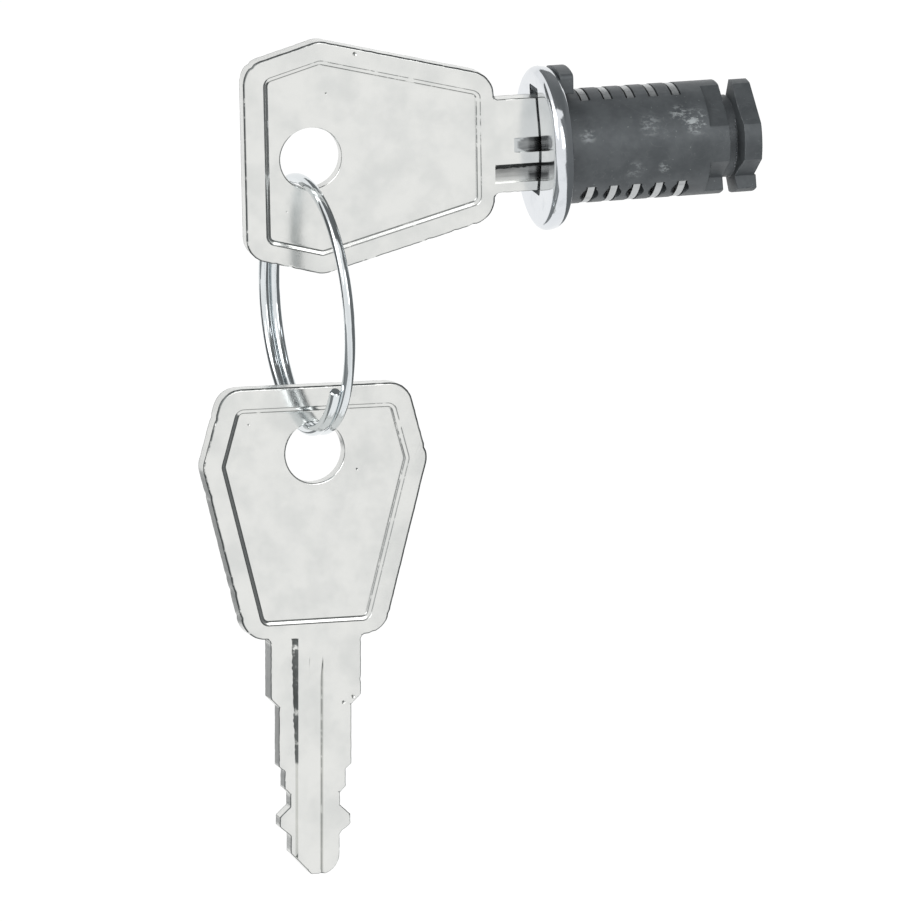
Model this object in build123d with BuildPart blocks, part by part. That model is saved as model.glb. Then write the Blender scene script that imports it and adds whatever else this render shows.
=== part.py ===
from build123d import *
import os
from math import ceil, cos, hypot, pi, radians, sin, sqrt

# Enclosure lock: a wafer plug with a crimped bright cap, its key, a spare key and their ring.
# Millimetres. The origin is on the lock axis at the back of the cap, where it meets the door.
# +X runs along the lock towards its tail, +Z is up, and the face of the key looks along -Y.

os.makedirs("parts", exist_ok=True)

# Plug barrel
barrel_r = 5.75
wafer_count = 5
wafer_pitch = 2.36
first_wafer_x = 2.63
barrel_end_wall = 2.73

# Crimped cap on the plug's head
cap_r = 8.25
cap_thick = 2.0
cap_wall = 0.5
cap_front_edge_r = 0.65
cap_back_edge_r = 0.3
cap_lip_thick = 0.45
cap_lip_width = 1.25
crimp_gap = 0.04
cap_slot_gap = 0.5
cap_slot_extra_top = 0.45
cap_slot_corner_r = 0.3

# Index lug behind the cap, which stops the plug turning in its housing
lug_r = 8.2
lug_inner_r = 6.45
lug_root_r = 6.9
lug_root_depth = 0.3
lug_half_width = 2.65
lug_len = 1.4
lug_corner_r = 0.5

# Tail of the plug, which turns the cam
tail_len = 5.3
tail_wall = 1.62
tail_foot_extra = 0.2
groove_start = 2.0
groove_floor_end = 3.2
groove_rim_end = 3.5
tail_groove_depth = 1.6
tail_flat_depth = 0.61
tail_flat_angle = 48.9
tail_far_side = 0.0
tail_far_neck_r = 4.0
rib_low = 1.4
notch_inner_y = 2.8
foot_height = 2.15
foot_half_width = 3.1

# Key blank: bow
bow_thick = 2.1
bow_end_half = 9.65
bow_wide_half = 11.8
bow_wide_x = 7.73
bow_shoulder_half = 7.25
bow_len = 25.5
bow_end_corner_r = 2.4
bow_wide_corner_r = 2.5
bow_shoulder_corner_r = 2.6
bow_edge_r = 0.18
key_hole_r = 3.1
key_hole_x = 6.75
panel_depth = 0.27
panel_slope = 0.5
panel_border_end = 2.0
panel_border_side = 1.85
panel_border_shoulder = 1.4
panel_corner_r = 1.0

# Key blade, from the bow to its tip
shoulder_half = 4.75
shoulder_len = 6.1
entry_half = 3.75
step_half = 3.15
step_ramp = 0.5
step_len = 1.8
waist_half = 2.55
waist_ramp = 0.6
waist_len = 1.3
lobe_half = 3.65
lobe_ramp = 1.0
lobe_len = 1.0
neck_half = 2.5
neck_len = 1.8
tip_len = 2.3
tip_round_r = 2.1
tip_flat_half = 0.35
groove_depth = 0.5
edge_groove_high = 1.9
mid_groove_half = 0.75
mid_groove_inset = 2.0
back_groove_low = 1.5
back_groove_high = 2.9

# Where the key stands in the lock: its axis is a little above the lock's own
key_rise = 0.67
key_seat_depth = 1.78
key_clearance = 0.1
keyway_tip_room = 0.3

# Wafers and their springs
wafer_thick = 0.7
wafer_side_wall = 1.35
wafer_tip_gap = 0.05
wafer_side_gap = 0.06
wafer_face_gap = 0.17
window_gap = 0.2
window_drop_room = 0.3
window_corner_r = 0.25
lug_top = 1.9
spring_wall = 0.25
spring_bore_r = 0.9
spring_bore_top = 1.2
spring_wire = 0.25
spring_side_gap = 0.155
spring_turns = 4.0
spring_seat_gap = 0.05

# Key ring
ring_wire = 1.1
ring_r = 12.6
ring_strand_gap = 0.46
ring_start_angle = 120.0
ring_turn_angle = 540.0
ring_yaw = 5.4
ring_side_shift = 0.65
hang_gap = 0.12

# Spare key, which hangs a little way round the ring and square to its wire
spare_yaw = 4.5
spare_lean = 5.0
spare_tilt = 2.8

# Places worked out from the sizes above
barrel_len = first_wafer_x + (wafer_count - 1) * wafer_pitch + barrel_end_wall
tail_end_x = barrel_len + tail_len
tail_flat_r = barrel_r - tail_flat_depth
groove_floor_r = barrel_r - tail_groove_depth
notch_inner_z = barrel_r - foot_height
key_half = bow_thick / 2
cap_slot_half_width = key_half + cap_slot_gap
cap_slot_bottom = key_rise - shoulder_half - cap_slot_gap
cap_slot_height = 2 * (shoulder_half + cap_slot_gap) + cap_slot_extra_top
head_front_x = cap_wall - cap_thick
head_r = cap_r - cap_wall - crimp_gap
lip_inner_r = cap_r - cap_lip_width
shoulder_end = bow_len + shoulder_len
shoulder_seat_x = key_seat_depth - cap_thick
entry_seat_x = shoulder_seat_x + shoulder_half - entry_half
key_seat_x = shoulder_seat_x - shoulder_end
keyway_end_x = tail_end_x - tail_wall
key_len = keyway_end_x - keyway_tip_room - key_seat_x
tip_start = key_len - tip_len
lobe_end = tip_start - neck_len
waist_end = lobe_end - lobe_len - 2 * lobe_ramp
step_end = waist_end - waist_len - waist_ramp
entry_end = step_end - step_len - step_ramp
lobe_seat_x = key_seat_x + lobe_end
mid_groove_start = bow_len + mid_groove_inset
keyway_half_width = key_half + key_clearance
window_half_width = key_half + window_gap
wafer_half_width = window_half_width + wafer_side_wall
spring_y = -(wafer_half_width + spring_wall + spring_bore_r)
window_bottom = key_rise - entry_half - window_gap
window_top = key_rise + entry_half + window_gap + window_drop_room
lug_reach = spring_bore_r - spring_y
spring_coil_r = spring_bore_r - spring_wire / 2 - spring_side_gap
hole_row_x = key_seat_x + key_hole_x
ring_pitch = ring_wire + ring_strand_gap
hang_r = key_hole_r - ring_wire / 2 - hang_gap
ring_top_z = key_rise - sqrt(hang_r**2 - ring_side_shift**2)
ring_center = Vector(hole_row_x - ring_side_shift, 0, ring_top_z - ring_r)
ring_side = Vector(sin(radians(ring_yaw)), -cos(radians(ring_yaw)), 0)
strand_drop = sqrt(hang_r**2 - (ring_pitch / 2) ** 2)
beyond = 2 * cap_r


def wafer_x(index):
    """Centre of a wafer along the lock, counted from the cap."""
    return first_wafer_x + index * wafer_pitch


def blade_profile():
    """Key blade's upper edge, from the bow to the start of the tip, as (station, half height)."""
    return [
        (bow_len - bow_shoulder_corner_r, shoulder_half),
        (shoulder_end, shoulder_half),
        (shoulder_end + shoulder_half - entry_half, entry_half),
        (entry_end, entry_half),
        (entry_end + step_ramp, step_half),
        (step_end, step_half),
        (step_end + waist_ramp, waist_half),
        (waist_end, waist_half),
        (waist_end + lobe_ramp, lobe_half),
        (waist_end + lobe_ramp + lobe_len, lobe_half),
        (lobe_end, neck_half),
    ]


def bow_outline(border_end, border_side, border_shoulder):
    """Corners of the six-sided bow, drawn in from its edge by the three borders."""
    near_slope = (bow_wide_half - bow_end_half) / bow_wide_x
    far_slope = (bow_wide_half - bow_shoulder_half) / (bow_len - bow_wide_x)
    near_drop = border_side * hypot(1, near_slope)
    far_drop = border_side * hypot(1, far_slope)
    peak_x = bow_wide_x + (near_drop - far_drop) / (near_slope + far_slope)
    end_x = border_end
    shoulder_x = bow_len - border_shoulder
    end_half = bow_end_half + near_slope * end_x - near_drop
    peak_half = bow_end_half + near_slope * peak_x - near_drop
    shoulder_half_height = bow_wide_half - far_slope * (shoulder_x - bow_wide_x) - far_drop
    upper = [(end_x, end_half), (peak_x, peak_half), (shoulder_x, shoulder_half_height)]
    lower = [(x, -y) for x, y in reversed(upper)]
    return upper + lower


def near_station(vertices, station):
    """The corners of a sketch that stand at one station along the key."""
    return [v for v in vertices if abs(v.X - station) < 0.01]


def bow_sketch():
    """Outer outline of the bow, corners rounded."""
    with BuildSketch() as bow:
        Polygon(*bow_outline(0, 0, 0), align=None)
        fillet(near_station(bow.vertices(), 0), bow_end_corner_r)
        fillet(near_station(bow.vertices(), bow_wide_x), bow_wide_corner_r)
        fillet(near_station(bow.vertices(), bow_len), bow_shoulder_corner_r)
    return bow.sketch


def blade_sketch():
    """Outline of the blade with its cuts, alike on both edges, and its tip, slanted on one side."""
    upper = blade_profile()
    lower = [(x, -y) for x, y in reversed(upper)]
    tip = [(key_len, neck_half), (key_len, -tip_flat_half), (tip_start, -neck_half)]
    with BuildSketch() as blade:
        Polygon(*upper, *tip, *lower, align=None)
        fillet([v for v in near_station(blade.vertices(), key_len) if v.Y > 0], tip_round_r)
    return blade.sketch


def panel_sketch(inset):
    """Outline of the coined panel, drawn in by the inset."""
    borders = (panel_border_end + inset, panel_border_side + inset, panel_border_shoulder + inset)
    with BuildSketch() as panel:
        Polygon(*bow_outline(*borders), align=None)
        fillet(panel.vertices(), panel_corner_r)
    return panel.sketch


def make_key(place, name):
    """A flat key lying in the given plane, with its bow's far end at the plane's origin."""
    bow = bow_sketch()
    blade = blade_sketch()
    panel = panel_sketch(0)
    panel_floor = panel_sketch(panel_slope)
    with BuildPart() as key:
        with BuildSketch(place):
            add(bow)
        extrude(amount=key_half, both=True)
        rim = [e for e in key.edges() if abs(abs(place.to_local_coords(e.center()).Z) - key_half) < 0.001]
        fillet(rim, bow_edge_r)
        with BuildSketch(place):
            add(blade)
        extrude(amount=key_half, both=True)
        for side in (1, -1):
            with BuildSketch(place.offset(side * key_half)):
                add(panel)
            with BuildSketch(place.offset(side * (key_half - panel_depth))):
                add(panel_floor)
            loft(ruled=True, mode=Mode.SUBTRACT)
        with BuildSketch(place):
            with Locations((key_hole_x, 0)):
                Circle(key_hole_r)
        extrude(amount=key_half, both=True, mode=Mode.SUBTRACT)
        with BuildSketch(place.offset(key_half)):
            with Locations((bow_len, -entry_half)):
                Rectangle(key_len, entry_half - edge_groove_high, align=Align.MIN)
            with Locations((mid_groove_start, 0)):
                Rectangle(key_len, 2 * mid_groove_half, align=(Align.MIN, Align.CENTER))
        extrude(amount=-groove_depth, mode=Mode.SUBTRACT)
        with BuildSketch(place.offset(-key_half)):
            with Locations((bow_len, back_groove_low)):
                Rectangle(key_len, back_groove_high - back_groove_low, align=Align.MIN)
        extrude(amount=groove_depth, mode=Mode.SUBTRACT)
    key.part.label = name
    export_step(key.part, f"parts/{name}.step")
    return key


def biarc(start, start_dir, end, end_dir):
    """Two arcs that leave the start along one direction and reach the end along the other."""
    chord = end - start
    both = start_dir + end_dir
    spread = 2 * (1 - start_dir.dot(end_dir))
    along = chord.dot(both)
    reach = (sqrt(along * along + spread * chord.dot(chord)) - along) / spread
    first_corner = start + start_dir * reach
    last_corner = end - end_dir * reach
    middle = (first_corner + last_corner) / 2
    TangentArc(start, middle, tangent=start_dir)
    TangentArc(middle, end, tangent=last_corner - first_corner)


def coil_point(center, side, up, axis, radius, pitch, angle, angle_at_center):
    """A point of a coil and its direction there; the angle is counted from up towards side."""
    turn = radians(angle)
    climb = pitch * (angle - angle_at_center) / 360
    point = center + side * (radius * sin(turn)) + up * (radius * cos(turn)) + axis * climb
    heading = side * (radius * cos(turn)) - up * (radius * sin(turn)) + axis * (pitch / (2 * pi))
    return point, heading.normalized()


def least_gap_to_itself(path, wire_size, pitch, radius):
    """Least gap between turns of a wire, measured on points along its path."""
    length = path.length
    count = int(length / (wire_size / 4)) + 1
    points = [path.position_at(i / count) for i in range(count + 1)]
    step = length / count
    skip = int(pi * radius / step)
    gaps = [
        (points[i] - points[j]).length
        for i in range(len(points))
        for j in range(i + skip, len(points))
    ]
    return min(gaps) - wire_size


def make_coil(name, center, side, up, radius, pitch, start_angle, turn_angle, angle_at_center, wire_size):
    """One unbroken wire wound as a coil, swept along arcs of an eighth of a turn or less."""
    axis = up.cross(side)
    quarters = ceil(turn_angle / 90)
    angles = [start_angle + turn_angle * i / quarters for i in range(quarters + 1)]
    stations = [coil_point(center, side, up, axis, radius, pitch, a, angle_at_center) for a in angles]
    with BuildPart() as coil:
        with BuildLine() as path:
            for (here, here_dir), (there, there_dir) in zip(stations, stations[1:]):
                biarc(here, here_dir, there, there_dir)
        with BuildSketch(Plane(origin=stations[0][0], z_dir=stations[0][1])):
            Circle(wire_size / 2)
        sweep(path=path.wires()[0])
    coil.part.label = name
    export_step(coil.part, f"parts/{name}.step")
    gap = least_gap_to_itself(path.wires()[0], wire_size, pitch, radius)
    print(f"{name}: wire {path.wires()[0].length:.2f} long, least gap to itself {gap:.3f}")
    return coil


def keyway_section(half_height):
    """Keyway's section: the blade's with its clearance, and a ward standing in each groove."""
    ward_y = key_half - groove_depth + key_clearance
    ward_depth = keyway_half_width - ward_y
    with BuildSketch() as section:
        Rectangle(2 * keyway_half_width, 2 * half_height)
        with Locations((-ward_y, -edge_groove_high - key_clearance)):
            Rectangle(ward_depth, key_len, align=Align.MAX, mode=Mode.SUBTRACT)
        with Locations((-ward_y, 0)):
            height = 2 * (mid_groove_half - key_clearance)
            Rectangle(ward_depth, height, align=(Align.MAX, Align.CENTER), mode=Mode.SUBTRACT)
        with Locations((ward_y, back_groove_low + key_clearance)):
            height = back_groove_high - back_groove_low - 2 * key_clearance
            Rectangle(ward_depth, height, align=Align.MIN, mode=Mode.SUBTRACT)
    return section.sketch


def tail_section():
    """Tail's section: the barrel's circle with two slanted flats and two notches beside the foot."""
    flat_dir = radians(tail_flat_angle)
    rib_edge_y = sqrt(barrel_r**2 - rib_low**2)
    right = [
        (0, tail_flat_r / sin(flat_dir)),
        (tail_flat_r / cos(flat_dir), 0),
        (tail_flat_r / cos(flat_dir), -rib_low),
        (rib_edge_y, -rib_low),
        (notch_inner_y, -notch_inner_z),
        (foot_half_width, -sqrt(barrel_r**2 - foot_half_width**2)),
        (foot_half_width, -barrel_r),
    ]
    left = [(-y, z) for y, z in reversed(right[1:])]
    with BuildSketch() as section:
        Circle(barrel_r)
        Polygon(*right, *left, align=None, mode=Mode.INTERSECT)
    return section.sketch


# Plug: head, barrel and tail in one casting
keyway = keyway_section(entry_half + key_clearance)
keyway_tip = keyway_section(neck_half + key_clearance)
tail = tail_section()
with BuildPart() as plug_body:
    with BuildSketch(Plane.XY):
        Polygon(
            (head_front_x, 0),
            (head_front_x, head_r),
            (-cap_lip_thick, head_r),
            (-cap_lip_thick, lip_inner_r - crimp_gap),
            (0, lip_inner_r - crimp_gap),
            (0, barrel_r),
            (barrel_len, barrel_r),
            (barrel_len, 0),
            align=None,
        )
    revolve(axis=Axis.X)
    with BuildSketch(Plane.YZ.offset(crimp_gap)) as lug:
        Rectangle(2 * lug_half_width, beyond, align=(Align.CENTER, Align.MIN))
        Circle(lug_r, mode=Mode.INTERSECT)
        fillet(lug.vertices().group_by(Axis.Y)[-1], lug_corner_r)
        Circle(lug_inner_r, mode=Mode.SUBTRACT)
    extrude(amount=lug_len - crimp_gap)
    with BuildSketch(Plane.YZ.offset(-lug_root_depth)):
        Rectangle(2 * lug_half_width, beyond, align=(Align.CENTER, Align.MIN))
        Circle(lug_root_r, mode=Mode.INTERSECT)
        Circle(lug_inner_r, mode=Mode.SUBTRACT)
    extrude(amount=lug_root_depth + lug_len)
    with BuildSketch(Plane.YZ.offset(barrel_len)):
        add(tail)
    extrude(amount=tail_len)
    with BuildSketch(Plane.YZ.offset(tail_end_x)):
        add(tail)
        with Locations((0, -notch_inner_z)):
            Rectangle(2 * barrel_r, barrel_r, align=(Align.CENTER, Align.MAX), mode=Mode.INTERSECT)
    extrude(amount=tail_foot_extra)
    with BuildSketch(Plane.YZ.offset(barrel_len + groove_floor_end)):
        with Locations((tail_far_side, 0)):
            Rectangle(beyond, beyond, align=(Align.MIN, Align.CENTER))
        Circle(tail_far_neck_r, mode=Mode.SUBTRACT)
    extrude(amount=tail_len, mode=Mode.SUBTRACT)
    with BuildSketch(Plane.XY):
        Polygon(
            (barrel_len + groove_start, beyond),
            (barrel_len + groove_start, groove_floor_r),
            (barrel_len + groove_floor_end, groove_floor_r),
            (barrel_len + groove_rim_end, barrel_r),
            (barrel_len + groove_rim_end, beyond),
            align=None,
        )
    revolve(axis=Axis.X, mode=Mode.SUBTRACT)
    with BuildSketch(Plane.YZ.offset(head_front_x)):
        with Locations((0, key_rise)):
            add(keyway)
    extrude(amount=lobe_seat_x + key_clearance - head_front_x, mode=Mode.SUBTRACT)
    with BuildSketch(Plane.YZ.offset(head_front_x)):
        with Locations((0, key_rise)):
            add(keyway_tip)
    extrude(amount=keyway_end_x - head_front_x, mode=Mode.SUBTRACT)
    with BuildSketch(Plane.XZ):
        edge = [
            (head_front_x, shoulder_half + key_clearance),
            (shoulder_seat_x + key_clearance, shoulder_half + key_clearance),
            (entry_seat_x + key_clearance, entry_half + key_clearance),
        ]
        upper = [(x, key_rise + half) for x, half in edge]
        lower = [(x, key_rise - half) for x, half in reversed(edge)]
        Polygon(*upper, *lower, align=None)
    extrude(amount=keyway_half_width, both=True, mode=Mode.SUBTRACT)
    for index in range(wafer_count):
        slot_width = wafer_thick + 2 * wafer_face_gap
        with BuildSketch(Plane.YZ.offset(wafer_x(index) - slot_width / 2)):
            Rectangle(2 * (wafer_half_width + wafer_side_gap), beyond)
            with Locations((0, -lug_top)):
                Rectangle(lug_reach + wafer_side_gap, beyond, align=Align.MAX)
        extrude(amount=slot_width, mode=Mode.SUBTRACT)
        with BuildSketch(Plane.XY.offset(spring_bore_top)):
            with Locations((wafer_x(index), spring_y)):
                Circle(spring_bore_r)
        extrude(amount=-beyond, mode=Mode.SUBTRACT)
plug_body.part.label = "plug_body"
export_step(plug_body.part, "parts/plug_body.step")


# Cap: a thin bright shell over the plug's head, its edge rolled in behind it
with BuildPart() as front_cap:
    with BuildSketch(Plane.XY) as cap_profile:
        Polygon(
            (-cap_thick, 0),
            (-cap_thick, cap_r),
            (0, cap_r),
            (0, lip_inner_r),
            (-cap_lip_thick, lip_inner_r),
            (-cap_lip_thick, cap_r - cap_wall),
            (head_front_x, cap_r - cap_wall),
            (head_front_x, 0),
            align=None,
        )
        rim = cap_profile.vertices().group_by(Axis.Y)[-1].sort_by(Axis.X)
        fillet(rim[0], cap_front_edge_r)
        back_corner = cap_profile.vertices().group_by(Axis.X)[-1].sort_by(Axis.Y)[-1]
        fillet(back_corner, cap_back_edge_r)
    revolve(axis=Axis.X)
    with BuildSketch(Plane.YZ.offset(-cap_thick)):
        with Locations((0, cap_slot_bottom + cap_slot_height / 2)):
            RectangleRounded(2 * cap_slot_half_width, cap_slot_height, cap_slot_corner_r)
    extrude(amount=cap_wall, mode=Mode.SUBTRACT)
front_cap.part.label = "front_cap"
export_step(front_cap.part, "parts/front_cap.step")


# Wafers, each with a window for the blade and a lug for its spring
for index in range(wafer_count):
    with BuildPart() as wafer:
        with BuildSketch(Plane.YZ.offset(wafer_x(index) - wafer_thick / 2)):
            Rectangle(2 * wafer_half_width, beyond)
            with Locations((0, -lug_top)):
                Rectangle(lug_reach, beyond, align=Align.MAX)
            Circle(barrel_r - wafer_tip_gap, mode=Mode.INTERSECT)
            with Locations((0, (window_top + window_bottom) / 2)):
                height = window_top - window_bottom
                RectangleRounded(2 * window_half_width, height, window_corner_r, mode=Mode.SUBTRACT)
        extrude(amount=wafer_thick)
    wafer.part.label = f"wafer_{index + 1}"
    export_step(wafer.part, f"parts/wafer_{index + 1}.step")


# Springs, one above the lug of each wafer
spring_top_z = spring_bore_top - spring_seat_gap - spring_wire / 2
spring_bottom_z = -lug_top + spring_seat_gap + spring_wire / 2
spring_pitch = (spring_top_z - spring_bottom_z) / spring_turns
for index in range(wafer_count):
    make_coil(
        name=f"wafer_spring_{index + 1}",
        center=Vector(wafer_x(index), spring_y, spring_bottom_z),
        side=Vector(1, 0, 0),
        up=Vector(0, -1, 0),
        radius=spring_coil_r,
        pitch=spring_pitch,
        start_angle=0.0,
        turn_angle=360.0 * spring_turns,
        angle_at_center=0.0,
        wire_size=spring_wire,
    )


# Keys: one seated in the lock with its blade level, one hanging from the ring with its blade down
seated = Plane(origin=(key_seat_x, 0, key_rise), x_dir=(1, 0, 0), z_dir=(0, -1, 0))
make_key(seated, "lock_key")
yaw, lean, tilt = radians(spare_yaw), radians(spare_lean), radians(spare_tilt)
down = Vector(0, 0, -1)
forward = Vector(sin(yaw), -cos(yaw), 0)
across = forward.cross(down)
spare_hole = ring_center + (ring_side * sin(lean) + down * cos(lean)) * (ring_r + strand_drop)
spare_dir = (down * cos(lean) + forward * sin(lean)) * cos(tilt) - across * sin(tilt)
spare_face = forward * cos(lean) - down * sin(lean)
hung = Plane(origin=spare_hole - spare_dir * key_hole_x, x_dir=spare_dir, z_dir=spare_face)
make_key(hung, "spare_key")


# Ring: more than one turn of round wire, a single strand at the top and two side by side below
make_coil(
    name="key_ring",
    center=ring_center,
    side=ring_side,
    up=Vector(0, 0, 1),
    radius=ring_r,
    pitch=ring_pitch,
    start_angle=ring_start_angle,
    turn_angle=ring_turn_angle,
    angle_at_center=360.0,
    wire_size=ring_wire,
)
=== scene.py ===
import logging
import math
import random
from dataclasses import dataclass, field
from enum import Enum
from itertools import pairwise
from typing import Any, Iterable, Sequence

import bpy
import numpy as np
from bpy.types import Material, Node, NodeSocket, NodeTree, Object
from mathutils import Matrix, Vector
from mathutils.geometry import delaunay_2d_cdt


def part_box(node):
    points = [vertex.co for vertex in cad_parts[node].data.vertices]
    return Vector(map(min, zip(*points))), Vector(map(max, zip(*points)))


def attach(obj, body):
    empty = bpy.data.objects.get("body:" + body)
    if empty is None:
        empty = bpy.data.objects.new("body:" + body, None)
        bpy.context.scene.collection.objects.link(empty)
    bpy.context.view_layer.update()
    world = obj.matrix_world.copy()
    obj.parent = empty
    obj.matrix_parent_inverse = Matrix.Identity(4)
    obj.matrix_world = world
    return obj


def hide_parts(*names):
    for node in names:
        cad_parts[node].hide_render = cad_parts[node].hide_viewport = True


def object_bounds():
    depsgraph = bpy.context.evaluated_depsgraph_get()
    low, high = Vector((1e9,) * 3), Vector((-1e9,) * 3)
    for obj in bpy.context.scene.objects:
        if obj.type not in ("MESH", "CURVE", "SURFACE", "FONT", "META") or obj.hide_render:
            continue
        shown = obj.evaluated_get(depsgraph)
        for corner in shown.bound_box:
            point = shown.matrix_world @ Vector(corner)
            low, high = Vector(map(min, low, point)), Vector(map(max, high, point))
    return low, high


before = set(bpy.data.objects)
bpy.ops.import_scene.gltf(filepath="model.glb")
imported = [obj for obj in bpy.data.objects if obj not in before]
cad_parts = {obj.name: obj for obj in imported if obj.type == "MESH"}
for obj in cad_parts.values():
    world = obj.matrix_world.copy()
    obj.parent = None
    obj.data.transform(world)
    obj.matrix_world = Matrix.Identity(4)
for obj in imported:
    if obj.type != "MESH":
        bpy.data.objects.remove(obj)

# Looks of the enclosure lock: plug, crimped cap, wafers, two keys and their ring.
# Sizes in the classes are millimetres, as a drawing gives them; MM turns them into metres.
MM = 0.001
CAD_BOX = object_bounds()
LOG = logging.getLogger("enclosure_lock")

Colour = tuple[float, float, float, float]
Profile = list[tuple[float, float]]
Triple = tuple[float, float, float]


def colour(red: float, green: float, blue: float) -> Colour:
    """An opaque linear colour."""
    return (red, green, blue, 1.0)


class Graph:
    """Adds and joins the nodes of one material, world or node group."""

    def __init__(self, tree: NodeTree) -> None:
        """Empties the tree.

        Args:
            tree: node tree to fill.
        """
        self.tree = tree
        tree.nodes.clear()

    def feed(self, socket: NodeSocket, value: Any) -> None:
        """Joins an output to an input, or sets the input's own value.

        Args:
            socket: the input.
            value: an output, a number, a vector or a colour.
        """
        if isinstance(value, NodeSocket):
            self.tree.links.new(value, socket)
        else:
            socket.default_value = value

    def add(self, kind: str, sockets: dict[Any, Any] | None = None, **settings: Any) -> Node:
        """Adds one node, sets its options and feeds its sockets.

        Args:
            kind: Blender's name of the node type.
            sockets: input name or index to a value or to the output that feeds it.
            settings: properties of the node.

        Returns:
            The new node.
        """
        node = self.tree.nodes.new(kind)
        for name, value in settings.items():
            setattr(node, name, value)
        for key, value in (sockets or {}).items():
            self.feed(node.inputs[key], value)
        return node

    def maths(self, operation: str, *values: Any) -> NodeSocket:
        """Adds a Math node with its inputs in order and gives its output."""
        return self.add("ShaderNodeMath", dict(enumerate(values)), operation=operation).outputs[0]

    def plus(self, base: Any, value: Any, weight: float) -> NodeSocket:
        """Adds a value times its weight to a base."""
        return self.maths("ADD", base, self.maths("MULTIPLY", value, weight))

    def largest(self, *values: Any) -> Any:
        """Largest of the values."""
        most, *others = values
        for value in others:
            most = self.maths("MAXIMUM", most, value)
        return most

    def vector(self, operation: str, *values: Any, output: str = "Vector") -> NodeSocket:
        """Adds a Vector Math node with its inputs in order and gives the named output."""
        return self.add("ShaderNodeVectorMath", dict(enumerate(values)), operation=operation).outputs[output]

    def ramp(self, value: Any, low: float, high: float, to_low: float = 0.0, to_high: float = 1.0) -> Any:
        """Maps a value smoothly from one range to another.

        Args:
            value: output to map.
            low: value that gives to_low.
            high: value that gives to_high.
            to_low: result at and before low.
            to_high: result at and past high.

        Returns:
            The mapped output.
        """
        sockets = {"Value": value, "From Min": low, "From Max": high, "To Min": to_low, "To Max": to_high}
        node = self.add("ShaderNodeMapRange", sockets, interpolation_type="SMOOTHSTEP", clamp=True)
        return node.outputs["Result"]

    def mix(self, factor: Any, first: Any, second: Any) -> Any:
        """Mixes two colours; the factor is the share of the second."""
        sockets = {0: factor, 6: first, 7: second}
        return self.add("ShaderNodeMix", sockets, data_type="RGBA", clamp_factor=True).outputs[2]

    def noise(self, vector: Any, scale: Any, detail: float = 2.0, roughness: float = 0.5) -> Any:
        """Noise at coordinates in millimetres, its scale in features per millimetre."""
        sockets = {"Vector": vector, "Scale": scale, "Detail": detail, "Roughness": roughness}
        return self.add("ShaderNodeTexNoise", sockets).outputs["Fac"]

    def drawn(self, name: str) -> Any:
        """Value that the mesh holds at each point or corner."""
        return self.add("ShaderNodeAttribute", attribute_name=name).outputs["Fac"]

    def metric(self, source: str) -> NodeSocket:
        """Object or UV coordinates in millimetres."""
        sockets = {0: self.add("ShaderNodeTexCoord").outputs[source], "Scale": 1 / MM}
        return self.add("ShaderNodeVectorMath", sockets, operation="SCALE").outputs["Vector"]

    def bump(self, height: Any, strength: float, depth: float, **sockets: Any) -> Any:
        """Normal of a height whose 1 stands for the depth in millimetres."""
        given = {"Height": height, "Strength": strength, "Distance": depth * MM, **sockets}
        return self.add("ShaderNodeBump", given).outputs["Normal"]


class Effect(Enum):
    """Surface effects that several materials share, each one node group."""

    GRAIN = "fine_grain"
    HAIRLINES = "hairline_scratches"
    BROKEN = "broken_mask"
    EDGES = "rounded_edges"


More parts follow.
